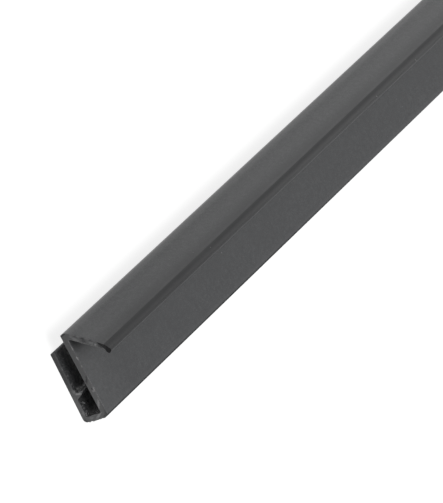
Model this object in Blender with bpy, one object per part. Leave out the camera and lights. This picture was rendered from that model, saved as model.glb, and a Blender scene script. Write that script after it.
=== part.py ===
"""A length of rigid PVC edge trim, extruded in one piece.

The section is a clip channel with one tall side, the web, and a lip that slopes off the web's
crown and curls down at its edge. It is drawn as (across, up): across is the distance from the
outer face of the short leg, and up the distance from the closed underside of the channel.
The length runs along X, and the piece lies on its short leg, so across becomes Z and up becomes -Y.
"""

import math

import bmesh
import bpy
from mathutils import Vector

# Stock length
LENGTH = 1.000

# Clip channel: short leg, floor and the clear space between leg and web
LEG_HEIGHT = 0.0248
LEG_WALL = 0.0016
FLOOR_WALL = 0.0017
SLOT_WIDTH = 0.0060

# Web, the tall side, which leans in over the slot to grip what is pushed into it
HEIGHT = 0.0300
WEB_WALL = 0.0020
WEB_LEAN = math.radians(1.8)
CROWN_SLOPE = math.radians(12)

# Barb on the inside of the short leg, flat above and sloping below
BARB_TOP = 0.0101
BARB_REACH = 0.0026
BARB_NOSE = 0.0005
BARB_SLOPE = math.radians(31)

# Lip: a flat run that thins towards its edge, a gentle curl, and a short straight nose
LIP_SLOPE = math.radians(31.3)
LIP_ROOT_WALL = 0.00195
LIP_WALL = 0.00165
LIP_RUN = 0.0123
CURL_RADIUS = 0.0048
CURL_TURN = math.radians(22)
NOSE_RUN = 0.0020

# Radii of the corners
BACK_HEEL_RADIUS = 0.0014
FRONT_HEEL_RADIUS = 0.0011
SLOT_FILLET = 0.0006
BARB_FILLET = 0.0012
BARB_EDGE_RADIUS = 0.0002
CROWN_RADIUS = 0.0025
LIP_FILLET = 0.0005
NOSE_RADIUS = 0.0006
EDGE_RADIUS = 0.0003
SHARP = 0.0

# Turn of one facet on a round stretch
ARC_STEP = math.radians(5)


def arc(centre, radius, first, last):
    """Points on an arc, from the first to the last angle, measured from up towards across."""
    count = max(2, math.ceil(abs(last - first) / ARC_STEP))
    angles = [first + (last - first) * i / count for i in range(count + 1)]
    return [centre + radius * Vector((math.sin(a), math.cos(a))) for a in angles]


def rounded(before, corner, after, radius):
    """The arc that rounds a corner, no larger than half of the shorter side beside it allows."""
    back = before - corner
    ahead = after - corner
    half_angle = back.angle(ahead) / 2
    reach = min(radius / math.tan(half_angle), back.length / 2, ahead.length / 2)
    radius = reach * math.tan(half_angle)
    middle = (back.normalized() + ahead.normalized()).normalized()
    centre = corner + middle * radius / math.sin(half_angle)
    start = corner + back.normalized() * reach - centre
    end = corner + ahead.normalized() * reach - centre
    first = math.atan2(start.x, start.y)
    last = math.atan2(end.x, end.y)
    turn = (last - first + math.pi) % (2 * math.pi) - math.pi
    return arc(centre, radius, first, first + turn)


def web_face(foot, up):
    """Where a face of the leaning web is at a height, from where it would meet the underside."""
    return Vector((foot - up * math.tan(WEB_LEAN), up))


def channel_corners():
    """Short leg and slot floor: from the back heel up the leg, over it and down inside."""
    barb_tip = LEG_WALL + BARB_REACH
    barb_foot = BARB_TOP - BARB_NOSE - BARB_REACH * math.tan(BARB_SLOPE)
    return [
        (Vector((0, 0)), BACK_HEEL_RADIUS),
        (Vector((0, LEG_HEIGHT)), EDGE_RADIUS),
        (Vector((LEG_WALL, LEG_HEIGHT)), EDGE_RADIUS),
        (Vector((LEG_WALL, BARB_TOP)), BARB_FILLET),
        (Vector((barb_tip, BARB_TOP)), BARB_EDGE_RADIUS),
        (Vector((barb_tip, BARB_TOP - BARB_NOSE)), BARB_EDGE_RADIUS),
        (Vector((LEG_WALL, barb_foot)), EDGE_RADIUS),
        (Vector((LEG_WALL, FLOOR_WALL)), SLOT_FILLET),
    ]


def lip_corners(crown):
    """Lip: out from the crown, round the curl and the nose, and back along the underside."""
    outward = Vector((math.sin(LIP_SLOPE), math.cos(LIP_SLOPE)))
    along = Vector((math.cos(LIP_SLOPE), -math.sin(LIP_SLOPE)))
    end_turn = LIP_SLOPE + CURL_TURN
    nose = NOSE_RUN * Vector((math.cos(end_turn), -math.sin(end_turn)))
    centre = crown + along * LIP_RUN - outward * (CURL_RADIUS + LIP_WALL)
    outer = arc(centre, CURL_RADIUS + LIP_WALL, LIP_SLOPE, end_turn)
    inner = arc(centre, CURL_RADIUS, end_turn, LIP_SLOPE)
    return (
        [(point, SHARP) for point in outer]
        + [(outer[-1] + nose, NOSE_RADIUS), (inner[0] + nose, NOSE_RADIUS)]
        + [(point, SHARP) for point in inner]
    )


def section():
    """The whole outline as a list of points, once round."""
    slot_side = LEG_WALL + SLOT_WIDTH
    front_side = slot_side + WEB_WALL
    crown = web_face(front_side, HEIGHT)
    lip_root = web_face(front_side, HEIGHT - LIP_ROOT_WALL / math.cos(LIP_SLOPE))
    corners = channel_corners()
    corners.append((web_face(slot_side, FLOOR_WALL), SLOT_FILLET))
    corners.append((web_face(slot_side, HEIGHT - WEB_WALL * math.tan(CROWN_SLOPE)), EDGE_RADIUS))
    corners.append((crown, CROWN_RADIUS))
    corners.extend(lip_corners(crown))
    corners.append((lip_root, LIP_FILLET))
    corners.append((web_face(front_side, 0), FRONT_HEEL_RADIUS))
    outline = []
    for i, (corner, radius) in enumerate(corners):
        if radius == SHARP:
            outline.append(corner)
            continue
        before = corners[i - 1][0]
        after = corners[(i + 1) % len(corners)][0]
        outline.extend(rounded(before, corner, after, radius))
    return outline


def rigid_pvc():
    """Anthracite rigid PVC, satin as it leaves the die."""
    material = bpy.data.materials.new("rigid_pvc")
    material.use_nodes = True
    shader = material.node_tree.nodes["Principled BSDF"]
    shader.inputs["Base Color"].default_value = (0.036, 0.038, 0.041, 1)
    shader.inputs["Roughness"].default_value = 0.42
    shader.inputs["Metallic"].default_value = 0
    material.diffuse_color = (0.036, 0.038, 0.041, 1)
    return material


def pvc_profile():
    """Draws the section at one end, square to the length, and extrudes it to the other."""
    outline = section()
    heights = [point.y for point in outline]
    middle = (min(heights) + max(heights)) / 2
    mesh = bpy.data.meshes.new("pvc_profile")
    shape = bmesh.new()
    rim = [shape.verts.new((-LENGTH / 2, middle - up, across)) for across, up in outline]
    end = shape.faces.new(rim)
    grown = bmesh.ops.extrude_face_region(shape, geom=[end], use_keep_orig=True)
    far_rim = [item for item in grown["geom"] if isinstance(item, bmesh.types.BMVert)]
    bmesh.ops.translate(shape, vec=(LENGTH, 0, 0), verts=far_rim)
    bmesh.ops.recalc_face_normals(shape, faces=shape.faces)
    shape.to_mesh(mesh)
    shape.free()
    mesh.materials.append(rigid_pvc())
    mesh.shade_smooth()
    mesh.set_sharp_from_angle(angle=math.radians(20))
    profile = bpy.data.objects.new("pvc_profile", mesh)
    bpy.context.scene.collection.objects.link(profile)
    return profile


for old in list(bpy.data.objects):
    bpy.data.objects.remove(old)
pvc_profile()
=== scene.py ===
import math
import random

import bmesh
import bpy
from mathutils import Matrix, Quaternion, Vector, kdtree, noise
from mathutils.geometry import delaunay_2d_cdt


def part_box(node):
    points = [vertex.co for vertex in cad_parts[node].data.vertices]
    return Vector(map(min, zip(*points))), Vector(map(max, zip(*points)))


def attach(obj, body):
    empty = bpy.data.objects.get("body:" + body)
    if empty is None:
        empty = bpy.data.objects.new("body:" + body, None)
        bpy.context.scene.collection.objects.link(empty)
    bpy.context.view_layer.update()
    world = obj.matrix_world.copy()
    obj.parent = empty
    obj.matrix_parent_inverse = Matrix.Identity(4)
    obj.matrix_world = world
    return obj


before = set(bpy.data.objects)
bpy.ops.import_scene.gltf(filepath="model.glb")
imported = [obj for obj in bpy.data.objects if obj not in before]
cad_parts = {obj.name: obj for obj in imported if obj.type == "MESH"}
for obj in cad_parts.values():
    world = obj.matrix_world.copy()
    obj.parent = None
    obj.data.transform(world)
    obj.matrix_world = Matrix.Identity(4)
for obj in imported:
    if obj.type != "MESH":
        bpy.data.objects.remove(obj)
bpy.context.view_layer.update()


# The profile itself: one extrusion of rigid PVC, coloured anthracite right through.
# It leaves the die with a satin skin and faint lines along its length, and the saw that cuts it
# to length whitens a narrow margin round each end.
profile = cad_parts["pvc_profile"]
low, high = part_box("pvc_profile")
HALF_LENGTH = high.x
LEG_HEIGHT = 0.0248
LEG_WALL = 0.0016
FLOOR_WALL = 0.0017
BARB_TOP = 0.0101
WEB_BACK = 0.0076
WEB_FRONT = 0.0096
WEB_LEAN = math.radians(1.8)
WEB_HEIGHT = 0.0300
CROWN = Vector((WEB_FRONT - WEB_HEIGHT * math.tan(WEB_LEAN), WEB_HEIGHT))
LIP_SLOPE = math.radians(31.3)
SOFT_START = 0.0137
ANTHRACITE = (0.0325, 0.0338, 0.0362, 1)
ANTHRACITE_WORN_AND_LIT = (0.046, 0.0475, 0.050, 1)
SAW_WHITENED = (0.080, 0.081, 0.083, 1)
SAWDUST_AND_LIGHT = (0.300, 0.300, 0.302, 1)
# The soft edge's own black, which also colours the painted shade on the rigid profile.
SOFT_BLACK_AND_SHADE = (0.0080, 0.0084, 0.0094, 1)
SATIN = 0.40
SKIN_BUMP = 0.000012
SHARPEST_CURVE = math.radians(20)
TOUCHING = 0.000001

# Chips in the lip's sawn edge: how far down the lip each is, and how far it reaches.
EDGE_CHIPS = [(0.0035, 0.0006), (0.0063, 0.0009), (0.0090, 0.0005)]


class Signal:
    """One socket of a material. Sums, products and so on of signals add Math nodes."""

    def __init__(self, tree, socket=None):
        self.tree = tree
        self.socket = socket

    def node(self, kind, settings=None, sockets=None, outlet=0):
        """Adds a node of any type: its settings go in first, then its values and links."""
        node = self.tree.nodes.new("ShaderNode" + kind)
        for name, value in (settings or {}).items():
            setattr(node, name, value)
        for name, value in (sockets or {}).items():
            if isinstance(value, Signal):
                self.tree.links.new(value.socket, node.inputs[name])
            else:
                node.inputs[name].default_value = value
        return Signal(self.tree, node.outputs[outlet] if len(node.outputs) else None)

    def maths(self, operation, *values):
        """Adds one Math node to the values, which may be signals or numbers."""
        return self.node("Math", {"operation": operation}, dict(enumerate(values)))

    def __add__(self, other):
        return self.maths("ADD", self, other)

    def __sub__(self, other):
        return self.maths("SUBTRACT", self, other)

    def __rsub__(self, other):
        return self.maths("SUBTRACT", other, self)

    def __mul__(self, other):
        return self.maths("MULTIPLY", self, other)

    def __truediv__(self, other):
        return self.maths("DIVIDE", self, other)

    def __rtruediv__(self, other):
        return self.maths("DIVIDE", other, self)

    def __pow__(self, other):
        return self.maths("POWER", self, other)

    def __rpow__(self, other):
        return self.maths("POWER", other, self)

    def __abs__(self):
        return self.maths("ABSOLUTE", self)

    __radd__ = __add__
    __rmul__ = __mul__

    def larger(self, other):
        """The larger of the two at each point."""
        return self.maths("MAXIMUM", self, other)

    def rise(self, first, last):
        """0 up to the first value, 1 from the last one on, and smooth between them."""
        return self.node(
            "MapRange",
            {"interpolation_type": "SMOOTHSTEP"},
            {"Value": self, "From Min": first, "From Max": last},
        )

    def fall(self, first, last):
        """1 up to the first value, 0 from the last one on, and smooth between them."""
        return 1 - self.rise(first, last)

    def mix(self, without, colour):
        """The one colour where the signal is 0, and the other where it is 1."""
        # A Mix node takes its two colours at inputs 6 and 7, and gives the result at output 2.
        return self.node("Mix", {"data_type": "RGBA"}, {0: self, 6: without, 7: colour}, 2)

    def speckle(self, scale, detail=2, roughness=0.5):
        """Soft noise at a position, with so many waves in a metre along each axis."""
        stretched = self.node("VectorMath", {"operation": "MULTIPLY"}, {0: self, 1: scale})
        return self.node(
            "TexNoise",
            {},
            {"Vector": stretched, "Scale": 1, "Detail": detail, "Roughness": roughness},
        )


def finish(colour, roughness, height, relief, specular=0.5, coat=0.0):
    """Closes a material: the height becomes a bump whose full depth is the relief, in metres."""
    normal = colour.node("Bump", {}, {"Strength": 1.0, "Distance": relief, "Height": height})
    surface = colour.node(
        "BsdfPrincipled",
        {},
        {
            "Base Color": colour,
            "Roughness": roughness,
            "Normal": normal,
            "Specular IOR Level": specular,
            "Coat Weight": coat,
            "Coat Roughness": SATIN,
        },
    )
    colour.node("OutputMaterial", {}, {"Surface": surface})


def material(name):
    """An empty material, and the position on the piece that its pattern is drawn by."""
    made = bpy.data.materials.new(name)
    made.use_nodes = True
    made.node_tree.nodes.clear()
    place = Signal(made.node_tree).node("TexCoord", outlet="Object")
    return made, place


def axes(place):
    """The three numbers of a position."""
    return [place.node("SeparateXYZ", {}, {"Vector": place}, axis) for axis in "XYZ"]


def down_lip(across, up):
    """How far a point lies down the lip, measured along its slope from the crown."""
    return (across - CROWN.x) * math.cos(LIP_SLOPE) - (up - CROWN.y) * math.sin(LIP_SLOPE)


def below_lip(across, up):
    """How far a point lies below the plane of the lip's outer face."""
    return (CROWN.x - across) * math.sin(LIP_SLOPE) - (up - CROWN.y) * math.cos(LIP_SLOPE)


rigid, place = material("rigid_pvc_satin")
along, depth, across = axes(place)
up = high.y - depth
from_end = HALF_LENGTH - abs(along)
lip_run = down_lip(across, up)
lip_depth = below_lip(across, up)

# The patterns in the skin, from the lines of the die down to its grain.
die_lines = place.speckle((1.6, 1500, 1500), 3)
broad_lines = place.speckle((0.8, 260, 260), 2)
mottle = place.speckle((60, 110, 110), 3)
grain = place.speckle((2600, 2600, 2600), 2)
speckled = place.speckle((700, 700, 700), 2)
paler = place.speckle((9, 620, 620), 4, 0.6).rise(0.66, 0.74)
scuffs = place.speckle((70, 1100, 420), 2).rise(0.70, 0.76) * mottle.rise(0.5, 0.62)
ragged = place.speckle((500, 500, 500), 3)

# The lip: a painted highlight along its crest, a band of painted shade next to the soft edge, and
# painted shade under its root.
outer = lip_depth.fall(0.0010, 0.0014)
crest_highlight = lip_run.fall(0.0008, 0.0030) * outer
# Painted shade: the lip's face darkens where it begins to curl towards the soft edge.
shaded = lip_run.rise(0.0080, SOFT_START) + lip_run.rise(SOFT_START - 0.0007, SOFT_START) * 0.4
shaded = shaded * outer
# Painted shade under the root of the lip, darker a little way in from the sawn ends.
under = (1 - outer) * lip_depth.fall(0.0032, 0.0068) * lip_run.rise(-0.0010, 0.0002)
painted_root_shade = under * (0.45 + from_end.rise(0, 0.004) * 0.45)

# The web's heel, painted shade along its foot, weaker away from the ends, and the short leg's tip.
web_side = across.rise(0.0080, 0.0088)
heel = up.fall(0.0014, 0.0023) * web_side
painted_foot_shade = up.fall(0.0004, 0.0012) * web_side * (1 - from_end.rise(0.10, 0.26) * 0.7)
leg_tip = up.rise(LEG_HEIGHT - 0.0005, LEG_HEIGHT - 0.0002)
leg_tip = leg_tip * across.fall(LEG_WALL + 0.0001, LEG_WALL + 0.0003)

# What the saw did: a whitened margin at each end, and chips in the near edge of the lip.
whitened = (from_end - ragged * 0.0009).fall(-0.0004, 0.0001)
chips = [abs(lip_run - run).fall(reach * 0.3, reach) for run, reach in EDGE_CHIPS]
near_edge = (HALF_LENGTH - along - ragged * 0.0006).fall(0, 0.0006)
chipped = sum(chips) * outer * near_edge

# Sawdust and painted light: a pale film in the mouth of the channel, thicker on its floor and on
# the barb, which is partly sawdust and partly painted light falling in at the open ends, and a
# trace of it outside.
slot = across.rise(LEG_WALL - 0.0002, LEG_WALL) * across.fall(WEB_BACK + 0.0001, WEB_BACK + 0.0003)
slot = slot * up.rise(FLOOR_WALL - 0.0002, FLOOR_WALL)
patches = place.speckle((900, 900, 900), 3, 0.6).rise(0.38, 0.62)
# Partly painted light: the film grows stronger a few millimetres into the shaded channel, and in
# its corner.
dust_and_light = 0.07 + from_end.rise(0, 0.0045) * 0.16 + from_end.rise(0.0030, 0.0080) * 0.42
dust_and_light = dust_and_light * slot * from_end.fall(0.0120, 0.0400)
settled_dust_and_light = slot * up.fall(0.0019, 0.0024) * from_end.fall(0.0070, 0.0150)
heaped_dust_and_light = slot * up.fall(0.0022, 0.0038) * from_end.fall(0.0065, 0.0105)
ledge_dust_and_light = slot * up.rise(BARB_TOP - 0.0003, BARB_TOP - 0.0001)
ledge_dust_and_light = ledge_dust_and_light * up.fall(BARB_TOP + 0.0005, BARB_TOP + 0.0015) * from_end.fall(0.0022, 0.0050)
dust_and_light = (dust_and_light + settled_dust_and_light * 1.2 + heaped_dust_and_light + ledge_dust_and_light * 1.3) * (0.45 + patches * 0.75)
# Painted light: a faint pale wash on the outside near each end.
painted_end_light = (1 - slot) * from_end.fall(0.002, 0.022) * (0.033 + patches * 0.025)

# The wear mix also holds the painted highlight along the crest.
wear_and_highlight = paler * 0.20 + scuffs * 0.30 + mottle.rise(0.35, 0.75) * 0.20 + crest_highlight * 0.9
wear_and_highlight = wear_and_highlight + (grain - 0.5) * 2.0 + (speckled - 0.5) * 1.2
colour = wear_and_highlight.mix(ANTHRACITE, ANTHRACITE_WORN_AND_LIT)
colour = (shaded * 0.5 + painted_root_shade).mix(colour, SOFT_BLACK_AND_SHADE)
colour = (dust_and_light + painted_end_light).mix(colour, SAWDUST_AND_LIGHT)
colour = (whitened * (1 - painted_root_shade * 0.7)).mix(colour, SAW_WHITENED)
colour = (chipped * 0.55 + painted_foot_shade * 0.9).mix(colour, SOFT_BLACK_AND_SHADE)
roughness = SATIN + (mottle - 0.5) * 0.16 + (broad_lines - 0.5) * 0.10 + whitened * 0.25
roughness = roughness + dust_and_light * 0.3 + under * 0.45 + leg_tip * 0.4 + painted_foot_shade * 0.55
height = die_lines * 0.45 + broad_lines * 0.9 + grain * 0.16 - paler * 0.10 + whitened * ragged
sheen = (1 - outer) * from_end.fall(0.06, 0.30) * 0.03
gloss = 0.185 + sheen + crest_highlight * 0.22 + heel * 0.12
gloss = gloss + (grain - 0.5) * 0.50 + (speckled - 0.5) * 0.20 + (mottle - 0.5) * 0.16
gloss = gloss * (1 - shaded) * (1 - painted_root_shade) * (1 - painted_foot_shade * 0.9) * (1 - chipped * 0.7)
finish(colour, roughness, height, SKIN_BUMP, specular=0.28, coat=gloss)
profile.data.materials.clear()
profile.data.materials.append(rigid)

# The solid's arcs are facets. This modifier moves nothing: it joins the corners that touch, drops
# the facets' own normals, and shades smoothly over every edge that turns less than the sharpest
# curve.
smoothing = bpy.data.node_groups.new("smooth_arcs", "GeometryNodeTree")
for in_out in ("INPUT", "OUTPUT"):
    smoothing.interface.new_socket("Mesh", in_out=in_out, socket_type="NodeSocketGeometry")
steps = smoothing.nodes
entry = steps.new("NodeGroupInput")
leave = steps.new("NodeGroupOutput")
weld = steps.new("GeometryNodeMergeByDistance")
weld.inputs["Distance"].default_value = TOUCHING
plain = steps.new("GeometryNodeRemoveAttribute")
plain.inputs["Name"].default_value = "custom_normal"
faces_smooth = steps.new("GeometryNodeSetShadeSmooth")
faces_smooth.domain = "FACE"
edges_smooth = steps.new("GeometryNodeSetShadeSmooth")
edges_smooth.domain = "EDGE"
angle = steps.new("GeometryNodeInputMeshEdgeAngle")
gentle = steps.new("FunctionNodeCompare")
gentle.operation = "LESS_THAN"
gentle.inputs["B"].default_value = SHARPEST_CURVE
smoothing.links.new(entry.outputs[0], weld.inputs["Geometry"])
smoothing.links.new(weld.outputs[0], plain.inputs["Geometry"])
smoothing.links.new(plain.outputs[0], faces_smooth.inputs["Geometry"])
smoothing.links.new(faces_smooth.outputs[0], edges_smooth.inputs["Geometry"])
smoothing.links.new(angle.outputs["Unsigned Angle"], gentle.inputs["A"])
smoothing.links.new(gentle.outputs[0], edges_smooth.inputs["Shade Smooth"])
smoothing.links.new(edges_smooth.outputs[0], leave.inputs[0])
modifier = profile.modifiers.new("smooth_arcs", "NODES")
modifier.node_group = smoothing


# The soft edge: a strip of black, flexible PVC that is welded on in the die and runs round the
# curl and the nose of the lip, so that the edge gives a little and seals. It laps into the rigid
# lip as a wedge, which shows in the sawn ends, and its outer face ends in a sharp line.
SOFT_PROUD = 0.00002
SOFT_END_PROUD = 0.00004
RIM_STEP = 0.0001
WEDGE_STEP = 0.0002
SOFT_CUT = (0.0125, 0.0125, 0.0130, 1)
SOFT_SCUFFED_AND_LIT = (0.060, 0.0605, 0.062, 1)

# The wedge's points: how far down the lip each is, and how far below its outer face.
WEDGE = [
    (SOFT_START, 0.0001),
    (0.01385, 0.0008),
    (0.01420, 0.0013),
    (0.01445, 0.0019),
    (0.01490, 0.0024),
]


def end_rim(mesh):
    """The outline of the near end in order, as (across, up) from the short leg's outer foot."""
    edges = {}
    for face in mesh.polygons:
        corners = [mesh.vertices[i].co for i in face.vertices]
        if min(corner.x for corner in corners) < high.x - TOUCHING:
            continue
        keys = [(round(corner.z, 7), round(high.y - corner.y, 7)) for corner in corners]
        for start, end in zip(keys, keys[1:] + keys[:1]):
            if edges.get(end) and start in edges[end]:
                edges[end].remove(start)
            else:
                edges.setdefault(start, []).append(end)
    here = max(key for key in edges if edges[key])
    rim = []
    while edges[here]:
        rim.append(Vector(here))
        here = edges[here].pop()
    return rim


def dense(points, step, closed=True):
    """The same line with points no further apart than the step."""
    filled = []
    pairs = zip(points, points[1:] + points[:1]) if closed else zip(points, points[1:])
    for start, end in pairs:
        count = max(1, math.ceil((end - start).length / step))
        filled.extend(start.lerp(end, i / count) for i in range(count))
    return filled if closed else filled + [points[-1]]


def nearest(points, target):
    """The index of the point that is closest to the target."""
    return min(range(len(points)), key=lambda i: (points[i] - target).length_squared)


def outward(points, i):
    """The direction out of the section at a point of its rim."""
    run = points[(i + 1) % len(points)] - points[i - 1]
    return Vector((run.y, -run.x)).normalized()


def on_lip(run, depth):
    """A section point that lies so far down the lip, and so far below its outer face."""
    down = Vector((math.cos(LIP_SLOPE), -math.sin(LIP_SLOPE)))
    inward = Vector((-math.sin(LIP_SLOPE), -math.cos(LIP_SLOPE)))
    return CROWN + down * run + inward * depth


def add_mesh(name, points, faces, surface, smooth_below=None):
    """A new piece from points and faces, in metres."""
    mesh = bpy.data.meshes.new(name)
    shape = bmesh.new()
    corners = [shape.verts.new(point) for point in points]
    for face in faces:
        shape.faces.new([corners[i] for i in face])
    bmesh.ops.recalc_face_normals(shape, faces=shape.faces)
    shape.to_mesh(mesh)
    shape.free()
    mesh.materials.append(surface)
    if smooth_below is not None:
        mesh.shade_smooth()
        mesh.set_sharp_from_angle(angle=smooth_below)
    piece = bpy.data.objects.new(name, mesh)
    bpy.context.scene.collection.objects.link(piece)
    return piece


def at(x, point):
    """A section point at a place along the length, as a point of the frame."""
    return Vector((x, high.y - point.y, point.x))


rim = dense(end_rim(profile.data), RIM_STEP)
seam_outer = nearest(rim, on_lip(*WEDGE[0]))
seam_inner = nearest(rim, on_lip(*WEDGE[-1]))
nose = [(seam_inner + k) % len(rim) for k in range((seam_outer - seam_inner) % len(rim) + 1)]
wedge = dense([on_lip(*spot) for spot in WEDGE[1:-1]], WEDGE_STEP, closed=False)
skin = [rim[i] + outward(rim, i) * SOFT_PROUD for i in nose]
soft_outline = skin + wedge
stations = [-HALF_LENGTH - SOFT_END_PROUD, HALF_LENGTH + SOFT_END_PROUD]
count = len(soft_outline)
points = [at(x, spot) for x in stations for spot in soft_outline]
faces = [[i, (i + 1) % count, count + (i + 1) % count, count + i] for i in range(count)]
faces += [list(range(count)), list(range(count, 2 * count))]

soft, place = material("soft_pvc_black")
along, depth, across = axes(place)
drawn = place.speckle((1.2, 1200, 1200), 3)
bloom = place.speckle((45, 160, 160), 3)
grain = place.speckle((2600, 2600, 2600), 2)
lip_run = down_lip(across, high.y - depth)
from_end = HALF_LENGTH - abs(along)
tip = lip_run.rise(0.0160, 0.0166)
# Painted light: the soft edge grows paler towards its nose, where it turns up to the light, and
# less so near the ends.
paler = lip_run.rise(0.0143, 0.0160) * (0.7 + bloom * 0.6) * (1 + tip * 0.35)
paler = paler * (0.58 + from_end.rise(0.03, 0.18) * 0.52)
scuffs_and_nose_light = bloom.rise(0.45, 0.75) * 0.06 + drawn.rise(0.5, 0.7) * 0.05 + paler * 0.66
cut = abs(along).rise(HALF_LENGTH - 0.0002, HALF_LENGTH)
colour = scuffs_and_nose_light.mix(SOFT_BLACK_AND_SHADE, SOFT_SCUFFED_AND_LIT)
colour = cut.mix(colour, SOFT_CUT)
height = drawn * 0.6 + grain * 0.2
roughness = 0.50 + (bloom - 0.5) * 0.14 + cut * 0.3 + tip * 0.12
finish(colour, roughness, height, SKIN_BUMP, specular=0.235)
soft_edge = add_mesh("soft_edge", points, faces, soft, smooth_below=math.radians(25))
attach(soft_edge, "root")


# The sawn faces: both ends are cut square with a circular saw, which leaves the solid PVC matt
# and paler than its skin, with faint curved scores, pale scuffs and dark smudges, and on the near
# face some painted highlight and painted shade. Each face is a thin closed layer that is as rough
# as the cut, and follows the section.
SAWN = (0.148, 0.149, 0.151, 1)
SAWN_DUSTY = (0.068, 0.0685, 0.070, 1)
SAWN_WHITE_AND_HIGHLIGHT = (0.42, 0.42, 0.422, 1)
SAWN_SMUDGE_AND_SHADE = (0.016, 0.016, 0.0175, 1)
FACE_PROUD = 0.00002
FACE_LEAST = 0.000003
FACE_BACK = 0.00005
FACE_INSET = 0.000012
FACE_STEP = 0.00016
CUT_BUMP = 0.00002
PALE_RISE = 0.000022
DARK_SINK = 0.000014
SCORE_PITCH = 0.00085
SCORE_CENTRE = Vector((-0.085, -0.060))

# The marks on the near face. Each is an oval: its middle across and up, its half length and half
# width, all in millimetres, its turn in degrees, and its strength.
# The pale marks are scuffs, and the two by the barb are a painted highlight along its upper edge.
PALE_MARKS_AND_HIGHLIGHT = [
    (8.80, 26.6, 0.60, 0.26, 90, 0.4), (8.95, 24.5, 0.85, 0.42, 93, 0.9),
    (8.85, 20.9, 0.60, 0.32, 100, 1.0), (8.90, 18.0, 0.40, 0.26, 85, 0.4),
    (9.30, 9.95, 0.75, 0.34, 86, 1.0), (8.75, 9.25, 0.50, 0.30, 10, 0.5),
    (8.30, 4.90, 1.90, 0.42, 66, 0.6), (6.40, 1.10, 1.50, 0.38, 28, 0.65),
    (3.30, 1.00, 0.80, 0.40, 0, 0.25), (1.20, 3.30, 0.80, 0.45, 80, 0.4),
    (2.95, 9.75, 1.10, 0.32, -8, 0.8), (1.50, 10.6, 0.70, 0.40, -70, 0.3),
    (11.2, 26.9, 1.40, 0.60, -40, 0.3), (10.2, 28.2, 0.60, 0.40, -30, 0.2),
    (16.3, 24.3, 1.10, 0.45, -31, 0.25), (17.4, 23.5, 0.45, 0.42, 60, 0.6),
    (9.30, 13.4, 0.60, 0.20, 90, 0.4), (0.80, 6.00, 3.50, 0.60, 90, 0.12),
]
# The dark marks are smudges, and painted shade in small dents and at broken corners.
DARK_MARKS_AND_SHADE = [
    (11.7, 27.95, 0.60, 0.28, -28, 0.8), (14.0, 26.5, 1.05, 0.34, -29, 0.8),
    (14.0, 25.8, 0.90, 0.50, -30, 0.6), (16.4, 25.1, 0.60, 0.24, -30, 0.5),
    (18.8, 22.6, 0.90, 0.50, -50, 0.8), (8.10, 13.2, 1.30, 0.38, 62, 0.7),
    (8.50, 10.1, 0.28, 0.24, 90, 0.9), (9.32, 1.25, 1.00, 0.62, 80, 0.6),
    (8.60, 0.50, 1.20, 0.42, 22, 0.5), (0.85, 0.60, 0.85, 0.40, -35, 0.5),
    (7.60, 29.4, 1.10, 0.30, 18, 0.8), (7.70, 26.0, 2.20, 0.80, 90, 0.12),
    (9.25, 3.40, 2.00, 0.26, 88, 0.3),
]


def mark_at(spot, marks, wander):
    """How strongly the marks cover a point that is given in millimetres, from 0 to 1."""
    strongest = 0
    for across, up, length, width, turn, strength in marks:
        tilt = math.radians(turn)
        offset = spot - Vector((across, up))
        run = offset.x * math.cos(tilt) + offset.y * math.sin(tilt)
        side = offset.y * math.cos(tilt) - offset.x * math.sin(tilt)
        reach = math.hypot(run / length, side / width) + wander
        strongest = max(strongest, strength * min(1, max(0, (1.3 - reach) / 0.7)))
    return strongest


def far_relief(spot):
    """How far a sawn face stands out at a point of the section: the saw's scores and roughness."""
    fine = noise.noise(Vector((spot.x * 2600, spot.y * 2600, 3)))
    broad = noise.noise(Vector((spot.x * 600, spot.y * 600, 10)))
    turn = (spot - SCORE_CENTRE).length / SCORE_PITCH + broad * 0.8
    score = math.sin(turn * 2 * math.pi) * (0.5 + 0.5 * broad)
    return FACE_PROUD * (1 + 0.30 * fine + 0.30 * broad + 0.22 * score)


def near_relief(spot):
    """The same for the near face, where the pale marks stand proud and the dark ones are sunk."""
    fine = noise.noise(Vector((spot.x * 2600, spot.y * 2600, 3)))
    pale = mark_at(spot * 1000, PALE_MARKS_AND_HIGHLIGHT, 0.5 * fine)
    dark = mark_at(spot * 1000, DARK_MARKS_AND_SHADE, 0.5 * fine)
    return max(FACE_LEAST, far_relief(spot) + pale * PALE_RISE - dark * DARK_SINK)


def mark_mask(marks, side, up, wander):
    """The marks as one mask of a material, from the same figures as in the relief."""
    masks = []
    for centre, rise, length, width, turn, strength in marks:
        tilt = math.radians(turn)
        right = side - centre
        above = up - rise
        run = (right * math.cos(tilt) + above * math.sin(tilt)) / length
        reach = (above * math.cos(tilt) - right * math.sin(tilt)) / width
        distance = (run * run + reach * reach) ** 0.5 + wander
        masks.append(distance.fall(0.4, 1.4) * strength)
    whole = masks[0]
    for mask in masks[1:]:
        whole = mask.larger(whole)
    return whole


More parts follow.
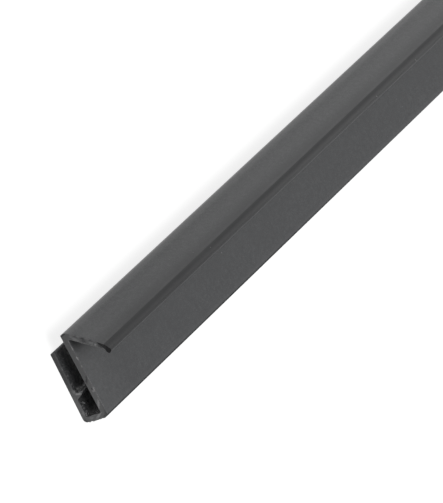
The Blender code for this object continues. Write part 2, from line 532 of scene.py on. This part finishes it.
def sawn_surface(name, marked):
    """Sawn PVC: dustier towards the lip, clouded, and marked where the relief is marked."""
    made, place = material(name)
    along, depth, across = axes(place)
    side = across * 1000
    up = (high.y - depth) * 1000
    ragged = place.speckle((900, 2400, 2400), 4, 0.6)
    cloud = place.speckle((300, 330, 330), 4, 0.6)
    grit = place.speckle((4000, 6000, 6000), 2)
    drag = place.speckle((300, 1300, 500), 3, 0.6)
    margin = place.node("Attribute", {"attribute_name": "rim_distance"}, outlet="Fac")
    dusty = up.rise(9, 15) * (1 - side.rise(3, 7) * 0.62) + (cloud - 0.5) * 0.6
    colour = dusty.rise(0, 1).mix(SAWN, SAWN_DUSTY)
    colour = (cloud.rise(0.54, 0.72) * 0.12).mix(colour, SAWN_WHITE_AND_HIGHLIGHT)
    colour = (drag.rise(0.40, 0.20) * 0.25).mix(colour, SAWN_SMUDGE_AND_SHADE)
    edge = (margin + (ragged - 0.5) * 0.0007).fall(0.00005, 0.00045) * 0.08
    colour = edge.mix(colour, SAWN_WHITE_AND_HIGHLIGHT)
    if marked:
        wander = (ragged - 0.5) * 2.2 + (drag - 0.5) * 1.2
        colour = mark_mask(DARK_MARKS_AND_SHADE, side, up, wander).mix(colour, SAWN_SMUDGE_AND_SHADE)
        colour = mark_mask(PALE_MARKS_AND_HIGHLIGHT, side, up, wander).mix(colour, SAWN_WHITE_AND_HIGHLIGHT)
    roughness = 0.62 + (grit - 0.5) * 0.2
    finish(colour, roughness, grit * 0.5 + ragged, CUT_BUMP, specular=0.4)
    return made


def layer(outline, step):
    """Fills an outline with small triangles, worked out in millimetres.

    Gives the points, the triangles, the outer edges, and each point's distance from the outline.
    """
    tree = kdtree.KDTree(len(outline))
    for i, spot in enumerate(outline):
        tree.insert(spot.to_3d(), i)
    tree.balance()
    draw = random.Random(11)
    inner = []
    for column in range(int(high.z / step)):
        for row in range(int((high.y - low.y) / step)):
            jitter = Vector((draw.random() - 0.5, draw.random() - 0.5)) * 0.5
            spot = (Vector((column, row + 0.5 * (column % 2))) + jitter) * step
            if tree.find(spot.to_3d())[2] > 0.6 * step:
                inner.append(spot)
    flat = [spot * 1000 for spot in outline + inner]
    loop = [list(range(len(outline)))]
    spots, _, triangles, *_ = delaunay_2d_cdt(flat, [], loop, 1, 0.00001)
    used = sorted({i for triangle in triangles for i in triangle})
    place_of = {old: new for new, old in enumerate(used)}
    spots = [spots[i] / 1000 for i in used]
    triangles = [[place_of[i] for i in triangle] for triangle in triangles]
    edges = {}
    for triangle in triangles:
        for first, second in zip(triangle, triangle[1:] + triangle[:1]):
            key = (min(first, second), max(first, second))
            edges.setdefault(key, []).append((first, second))
    border = [pair[0] for pair in edges.values() if len(pair) == 1]
    margins = [tree.find(spot.to_3d())[2] for spot in spots]
    return spots, triangles, border, margins


def cut_piece(name, sign, filled, relief, back, surface):
    """A thin closed piece on the near (1) or the far (-1) end, its outer side in relief."""
    spots, triangles, border, margins = filled
    points = [at(sign * (HALF_LENGTH + relief(spot)), spot) for spot in spots]
    points += [at(sign * (HALF_LENGTH - back), spot) for spot in spots]
    shift = len(spots)
    faces = list(triangles)
    faces += [[i + shift for i in triangle] for triangle in triangles]
    faces += [[first, second, second + shift, first + shift] for first, second in border]
    piece = add_mesh(name, points, faces, surface, smooth_below=math.radians(40))
    distance = piece.data.attributes.new("rim_distance", "FLOAT", "POINT")
    for i, margin in enumerate(margins + margins):
        distance.data[i].value = margin
    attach(piece, "root")
    return piece


covered = set(nose[1:-1])
rigid_rim = [spot for i, spot in enumerate(rim) if i not in covered]
start = nearest(rigid_rim, rim[seam_outer])
rigid_rim = rigid_rim[start:] + rigid_rim[:start] + list(reversed(wedge))
inset = [spot - outward(rigid_rim, i) * FACE_INSET for i, spot in enumerate(rigid_rim)]
whole_face = layer(inset, FACE_STEP)
sawn_near = sawn_surface("sawn_pvc_near", True)
sawn_far = sawn_surface("sawn_pvc_far", False)
cut_piece("sawn_face_near", 1, whole_face, near_relief, FACE_BACK, sawn_near)
cut_piece("sawn_face_far", -1, whole_face, far_relief, FACE_BACK, sawn_far)


# The smears: the saw drags the black PVC of the soft edge a little way across the pale cut, and
# leaves it there as a thin film that tapers towards the crown.
SMEAR_PROUD = 0.000046
SMEAR_ROUGH = 0.000010
SMEAR_BACK = 0.00003
SMEAR_STEP = 0.00012

# The outline of a smear: how far down the lip each point is, and how far below its outer face.
SMEAR = [
    (0.01122, 0.00004), (0.01150, 0.00024), (0.01187, 0.00046), (0.01240, 0.00070),
    (0.01294, 0.00092), (0.01340, 0.00114), (0.01378, 0.00138), (0.01420, 0.00165),
    (0.01459, 0.00178), (0.01480, 0.00160), (0.01470, 0.00110), (0.01440, 0.00060),
    (0.01400, 0.00032), (0.01370, 0.00020), (0.01310, 0.00009), (0.01240, 0.00004),
]


def smear_relief(spot):
    """The film lies a little prouder than the sawn face that it covers."""
    return SMEAR_PROUD + SMEAR_ROUGH * noise.noise(Vector((spot.x * 3000, spot.y * 3000, 5)))


smeared, place = material("soft_pvc_smeared")
grit = place.speckle((4000, 5000, 5000), 2)
patchy = place.speckle((900, 1800, 1800), 3).rise(0.45, 0.70)
colour = (patchy * 0.3).mix(SOFT_CUT, SAWN_DUSTY)
finish(colour, 0.7 + (grit - 0.5) * 0.2, grit, CUT_BUMP, specular=0.25)
smear = layer(dense([on_lip(*spot) for spot in SMEAR], SMEAR_STEP), SMEAR_STEP)
cut_piece("soft_smear_near", 1, smear, smear_relief, SMEAR_BACK, smeared)
cut_piece("soft_smear_far", -1, smear, smear_relief, SMEAR_BACK, smeared)


# The burrs: the saw leaves a ragged fringe of drawn-out PVC along parts of each cut edge. It is
# thin enough to turn pale, and hangs on by its root.
BURR_PALE = (0.24, 0.24, 0.243, 1)
ROOT_PROUD = 0.000035
ROOT_IN = 0.00010
TIP_PROUD = 0.000020
HEEL_BACK = 0.00008
HEEL_IN = 0.00006
THINNEST = 0.03

# The stretches of edge with a burr: from and to, across and up, and how far the burr reaches out,
# all in millimetres.
NEAR_BURRS = [
    ((8.72, 27.0), (8.75, 26.6), 0.20), ((8.84, 24.8), (8.87, 23.9), 0.42),
    ((8.92, 21.4), (8.95, 20.5), 0.48), ((9.02, 18.4), (9.04, 17.7), 0.26),
    ((9.13, 14.6), (9.22, 11.6), 0.14), ((9.26, 10.8), (9.32, 9.20), 0.48),
    ((9.34, 8.20), (9.50, 3.40), 0.22), ((8.60, 0.00), (1.70, 0.00), 0.38),
    ((1.65, 11.5), (4.20, 10.1), 0.30), ((4.20, 9.50), (1.70, 7.90), 0.16),
    ((1.60, 6.50), (1.60, 3.10), 0.24), ((5.80, 1.70), (2.80, 1.70), 0.22),
    ((1.60, 19.5), (1.60, 18.4), 0.12), ((17.9, 22.6), (12.1, 26.0), 0.14),
    ((13.1, 27.3), (10.1, 29.1), 0.12),
]
FAR_BURRS = [
    ((8.77, 26.48), (9.06, 19.08), 0.24), ((9.18, 15.08), (9.60, 3.09), 0.26),
    ((8.00, 0.06), (3.00, -0.03), 0.20), ((1.65, 11.55), (4.17, 9.74), 0.22),
    ((16.78, 23.12), (12.34, 25.65), 0.18), ((1.52, 21.95), (1.62, 12.95), 0.14),
]


def fringe(sign, runs, seed):
    """Points and faces of the ragged fringe along stretches of one end's rim.

    Across the fringe there are three corners: its root on the sawn face, its tip outside the rim,
    and its heel, which is sunk in the wall behind the face.
    """
    points = []
    faces = []
    for start, end, reach in runs:
        here = nearest(rim, Vector(start) / 1000)
        last = nearest(rim, Vector(end) / 1000)
        count = (last - here) % len(rim)
        step = 1
        if count > len(rim) / 2:
            count = len(rim) - count
            step = -1
        first = len(points)
        for k in range(count + 1):
            i = (here + step * k) % len(rim)
            out = outward(rim, i)
            fine = noise.noise(Vector((rim[i].x * 5200, rim[i].y * 5200, seed)))
            broad = noise.noise(Vector((rim[i].x * 900, rim[i].y * 900, seed + 4)))
            taper = min(1, k / 4, (count - k) / 4)
            width = min(1, max(THINNEST, 0.55 + 0.75 * broad + 0.6 * fine)) * taper * reach / 1000
            points += [
                at(sign * (HALF_LENGTH + ROOT_PROUD), rim[i] - out * ROOT_IN),
                at(sign * (HALF_LENGTH + TIP_PROUD - width * 0.25), rim[i] + out * width),
                at(sign * (HALF_LENGTH - HEEL_BACK - width * 0.7), rim[i] - out * HEEL_IN),
            ]
        for k in range(count):
            for side in range(3):
                here_a = first + 3 * k + side
                here_b = first + 3 * k + (side + 1) % 3
                faces.append([here_a, here_b, here_b + 3, here_a + 3])
        faces.append([first, first + 1, first + 2])
        faces.append([first + 3 * count, first + 3 * count + 1, first + 3 * count + 2])
    return points, faces


drawn_out, place = material("drawn_pvc_pale")
streak = place.speckle((2500, 2500, 2500), 3)
colour = streak.rise(0.3, 0.7).mix(SAWN, BURR_PALE)
finish(colour, 0.55 + (streak - 0.5) * 0.2, streak, CUT_BUMP, specular=0.4)
for name, sign, runs, seed in (
    ("saw_burrs_near", 1, NEAR_BURRS, 21),
    ("saw_burrs_far", -1, FAR_BURRS, 57),
):
    burrs = add_mesh(name, *fringe(sign, runs, seed), drawn_out, smooth_below=math.radians(35))
    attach(burrs, "root")


# The swarf: crumbs and two curled shavings from the saw still cling inside the mouth of the
# channel, on the short leg, round the barb and in the corners of the channel's floor.
CRUMB_PALE = (0.115, 0.115, 0.117, 1)
CRUMB_DARK = (0.068, 0.068, 0.070, 1)
CRUMB_SIZES = (0.00008, 0.00020)
CRUMB_FRONT = 0.00015
SHAVING_WIDTH = 0.0008
SHAVING_WALL = 0.00006
SHAVING_DRIFT = 0.0001
SHAVING_STEPS = 14

# Where fine crumbs cling: from and to, across and up, how many, and how deep inside the channel
# they reach. All but the count is in millimetres.
CRUMB_BEDS = [
    ((1.60, 11.6), (1.60, 24.4), 62, 4.5), ((2.60, 10.1), (4.10, 10.1), 26, 6.0),
    ((1.60, 2.40), (1.60, 7.60), 34, 4.5), ((1.90, 1.70), (7.40, 1.70), 90, 4.0),
    ((7.54, 2.00), (7.48, 4.20), 16, 3.0),
]

# The larger crumbs: across, up, behind the sawn face, and radius, all in millimetres.
LUMPS = [
    (2.30, 10.6, 0.9, 0.42), (3.15, 10.5, 1.0, 0.36), (1.95, 11.2, 1.2, 0.32),
    (3.80, 10.4, 1.9, 0.30), (2.30, 2.15, 0.9, 0.30), (3.20, 1.95, 0.8, 0.30),
    (4.30, 1.95, 0.9, 0.30), (1.95, 3.40, 0.9, 0.28), (1.90, 4.60, 0.6, 0.24),
    (7.20, 2.20, 0.5, 0.28), (7.30, 3.10, 0.4, 0.24), (6.10, 1.95, 0.8, 0.28),
    (1.90, 5.60, 0.7, 0.26), (1.80, 17.8, 0.9, 0.28), (1.80, 22.8, 0.8, 0.30),
    (1.85, 16.2, 0.9, 0.30), (1.80, 13.2, 0.7, 0.26), (1.75, 20.3, 1.0, 0.24),
    (5.20, 1.95, 0.5, 0.22), (1.85, 12.3, 0.8, 0.30),
]


def crumb(points, faces, centre, size, draw):
    """Adds one ragged lump, as a ball with dents that is stretched and turned at random."""
    ball = bmesh.new()
    bmesh.ops.create_icosphere(ball, subdivisions=2 if size > max(CRUMB_SIZES) else 1, radius=size)
    stretch = Vector((draw.uniform(0.6, 1.7), draw.uniform(0.6, 1.4), draw.uniform(0.3, 0.7)))
    axis = Vector((draw.random() - 0.5, draw.random(), draw.random())).normalized()
    turn = Quaternion(axis, draw.uniform(0, 6))
    first = len(points)
    for vertex in ball.verts:
        dent = 1 + 0.9 * noise.noise(vertex.co / size * 1.6 + centre * 9000)
        points.append(centre + turn @ (vertex.co * stretch) * dent)
    faces += [[vertex.index + first for vertex in face.verts] for face in ball.faces]
    ball.free()


def crumbs(sign, share, seed):
    """Points and faces of the crumbs that are half sunk in the walls they cling to."""
    draw = random.Random(seed)
    points = []
    faces = []
    for start, end, count, reach in CRUMB_BEDS:
        for _ in range(round(count * share)):
            spot = Vector(start).lerp(Vector(end), draw.random()) / 1000
            back = CRUMB_FRONT + reach / 1000 * draw.random() ** 1.8
            size = draw.uniform(*CRUMB_SIZES) * (1.5 if draw.random() < 0.15 else 1)
            crumb(points, faces, at(sign * (HALF_LENGTH - back), spot), size, draw)
    return points, faces


def shaving(points, faces, middle, back, radius, turn, lean):
    """Adds one thin shaving, rolled into part of a ring that stands across the channel."""
    first = len(points)
    for k in range(SHAVING_STEPS + 1):
        angle = math.radians(lean + turn * k / SHAVING_STEPS)
        thin = 0.25 + 0.75 * math.sin(math.pi * (k + 0.7) / (SHAVING_STEPS + 1.4))
        drift = SHAVING_DRIFT * k / SHAVING_STEPS - back
        arm = Vector((math.cos(angle), math.sin(angle)))
        for reach in (radius, radius - SHAVING_WALL):
            for half in (-1, 1):
                x = HALF_LENGTH + drift + half * SHAVING_WIDTH * thin / 2
                points.append(at(x, middle + arm * reach))
    for k in range(SHAVING_STEPS):
        for side in ((0, 1), (1, 3), (3, 2), (2, 0)):
            here_a = first + 4 * k + side[0]
            here_b = first + 4 * k + side[1]
            faces.append([here_a, here_b, here_b + 4, here_a + 4])
    faces.append([first, first + 1, first + 3, first + 2])
    end = first + 4 * SHAVING_STEPS
    faces.append([end, end + 1, end + 3, end + 2])


crumbly, place = material("swarf")
streak = place.speckle((1500, 1500, 1500), 3)
colour = streak.rise(0.3, 0.7).mix(CRUMB_DARK, CRUMB_PALE)
finish(colour, 0.7 + (streak - 0.5) * 0.2, streak, CUT_BUMP, specular=0.4)
points, faces = crumbs(1, 1, 31)
draw = random.Random(8)
for right, above, back, size in LUMPS:
    spot = Vector((right, above)) / 1000
    crumb(points, faces, at(HALF_LENGTH - back / 1000, spot), size / 1000, draw)
swarf = [
    add_mesh("swarf_near", points, faces, crumbly, smooth_below=math.radians(50)),
    add_mesh("swarf_far", *crumbs(-1, 0.5, 47), crumbly, smooth_below=math.radians(50)),
]
points = []
faces = []
shaving(points, faces, Vector((0.00155, 0.00505)), back=0.0007, radius=0.0018, turn=58, lean=30)
shaving(points, faces, Vector((0.00250, 0.01075)), back=0.0006, radius=0.0006, turn=150, lean=200)
swarf.append(add_mesh("shavings_near", points, faces, drawn_out, smooth_below=math.radians(50)))
for piece in swarf:
    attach(piece, "root")


# The dust: stray flecks of pale sawdust that lie on the web and the lip. A few larger ones have
# settled by the nose of the lip and on the web.
FLECKS = 130
FLECK_PALE = (0.16, 0.16, 0.165, 1)
FLECK_SIZES = (0.00008, 0.00017)
FLECK_LEVELS = (-0.00002, 0.00004)
FLECKS_ALONG = (-0.49, 0.495)
FLECKS_UP_WEB = (0.0015, 0.0195)
FLECKS_DOWN_LIP = (0.0016, 0.0118)
WEB_SHARE = 0.62

# The larger flecks: where each lies along the length and on the section, and its size.
SETTLED = [
    (0.4260, on_lip(0.01463, 0.00044), 0.00018),
    (0.3000, on_lip(0.01610, 0.00104), 0.00034),
    (0.2679, on_lip(0.01620, 0.00108), 0.00036),
    (0.4050, Vector((0.00918, 0.01348)), 0.00032),
]


def fleck(points, faces, x, centre, out, size, draw):
    """Adds one flat, ragged chip that lies on the surface at a section point."""
    slide = Vector((out.y, -out.x))
    sides = draw.randint(5, 7)
    first = len(points)
    for level in FLECK_LEVELS:
        for i in range(sides):
            angle = 2 * math.pi * (i + draw.uniform(-0.25, 0.25)) / sides
            reach = size * draw.uniform(0.7, 1.2) * (0.75 if level > 0 else 1)
            spot = centre + slide * reach * math.sin(angle) + out * level
            points.append(at(x + reach * math.cos(angle), spot))
    bottom = list(range(first, first + sides))
    top = list(range(first + sides, first + 2 * sides))
    faces.extend([bottom, top])
    for i in range(sides):
        j = (i + 1) % sides
        faces.append([bottom[i], bottom[j], top[j], top[i]])


points = []
faces = []
draw = random.Random(5)
for _ in range(FLECKS):
    x = draw.uniform(*FLECKS_ALONG)
    size = draw.uniform(*FLECK_SIZES) * (1.8 if draw.random() < 0.12 else 1)
    if draw.random() < WEB_SHARE:
        up = draw.uniform(*FLECKS_UP_WEB)
        centre = Vector((WEB_FRONT - up * math.tan(WEB_LEAN), up))
        out = Vector((math.cos(WEB_LEAN), math.sin(WEB_LEAN)))
    else:
        centre = on_lip(draw.uniform(*FLECKS_DOWN_LIP), 0)
        out = Vector((math.sin(LIP_SLOPE), math.cos(LIP_SLOPE)))
    fleck(points, faces, x, centre, out, size, draw)
for x, spot, size in SETTLED:
    i = nearest(rim, spot)
    fleck(points, faces, x, rim[i], outward(rim, i), size, draw)
dusty, place = material("sawdust")
grit = place.speckle((6000, 6000, 6000), 2)
colour = grit.rise(0.3, 0.7).mix(SAWN, FLECK_PALE)
finish(colour, 0.8 + (grit - 0.5) * 0.1, grit, CUT_BUMP, specular=0.3)
flecks = add_mesh("dust_flecks", points, faces, dusty)
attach(flecks, "root")


# The floor: a plain pale studio floor. It glows for the camera, which sees it as white with the
# profile's soft shadow, and less for reflections, so that the satin skin mirrors a pale ground.
FLOOR_SIZE = 80
FLOOR_PALE = (0.3, 0.3, 0.3, 1)
CAMERA_GLOW = 0.82
MIRROR_GLOW = 0.66
BLACK = (0, 0, 0, 1)
WHITE = (1, 1, 1, 1)
bpy.ops.mesh.primitive_plane_add(size=FLOOR_SIZE)
floor = bpy.context.object
floor.name = "floor"
pale, place = material("floor_pale")
camera_ray = place.node("LightPath", outlet="Is Camera Ray")
glossy_ray = place.node("LightPath", outlet="Is Glossy Ray")
glow = camera_ray * CAMERA_GLOW + glossy_ray * MIRROR_GLOW
surface = place.node(
    "BsdfPrincipled",
    {},
    {
        "Base Color": FLOOR_PALE,
        "Roughness": 0.9,
        "Specular IOR Level": 0.0,
        "Emission Color": glow.mix(BLACK, WHITE),
        "Emission Strength": 1.0,
    },
)
place.node("OutputMaterial", {}, {"Surface": surface})
floor.data.materials.append(pale)


# The light: an even room that looks white and lights the object gently, a large soft lamp over
# the near end, and a soft panel low down beside the far end, which the slope of the lip mirrors.
ROOM_LIGHT = 0.28
ROOM_SEEN = 1.0
LAMPS = [
    ("key", (1.15, 0.40, 2.35), (0.40, 0, 0), 1.5, 1.5, 42),
    ("panel", (-0.68, -0.50, 0.22), (-0.43, 0, 0.02), 0.9, 0.5, 1.55),
]
world = bpy.data.worlds.new("studio")
bpy.context.scene.world = world
world.use_nodes = True
world.node_tree.nodes.clear()
room = Signal(world.node_tree)
camera_ray = room.node("LightPath", outlet="Is Camera Ray")
glossy_ray = room.node("LightPath", outlet="Is Glossy Ray")
strength = ROOM_LIGHT + camera_ray.larger(glossy_ray) * (ROOM_SEEN - ROOM_LIGHT)
background = room.node("Background", {}, {"Color": WHITE, "Strength": strength})
room.node("OutputWorld", {}, {"Surface": background})
for name, stand, aim, width, height, power in LAMPS:
    lamp = bpy.data.lights.new(name, "AREA")
    lamp.shape = "RECTANGLE"
    lamp.size = width
    lamp.size_y = height
    lamp.energy = power
    light = bpy.data.objects.new(name, lamp)
    bpy.context.scene.collection.objects.link(light)
    light.location = stand
    light.rotation_mode = "QUATERNION"
    light.rotation_quaternion = (Vector(stand) - Vector(aim)).to_track_quat("Z", "Y")
    light.visible_camera = False


# The camera: a long lens above the near end and to the lip's side, turned so that the length
# runs from the lower left to the upper right.
AZIMUTH = math.radians(74.723)
ELEVATION = math.radians(34.036)
ROLL = math.radians(72.48789)
LENS = 395.134
CAMERA_STAND = (1.840758, -0.391104, 1.014638)
back = Vector((
    math.sin(AZIMUTH) * math.cos(ELEVATION),
    -math.cos(AZIMUTH) * math.cos(ELEVATION),
    math.sin(ELEVATION),
))
lens = bpy.data.cameras.new("camera")
lens.lens = LENS
camera = bpy.data.objects.new("camera", lens)
bpy.context.scene.collection.objects.link(camera)
camera.location = CAMERA_STAND
camera.rotation_mode = "QUATERNION"
camera.rotation_quaternion = Quaternion(back, ROLL) @ back.to_track_quat("Z", "Y")
bpy.context.scene.camera = camera
bpy.context.scene.view_settings.view_transform = "Standard"
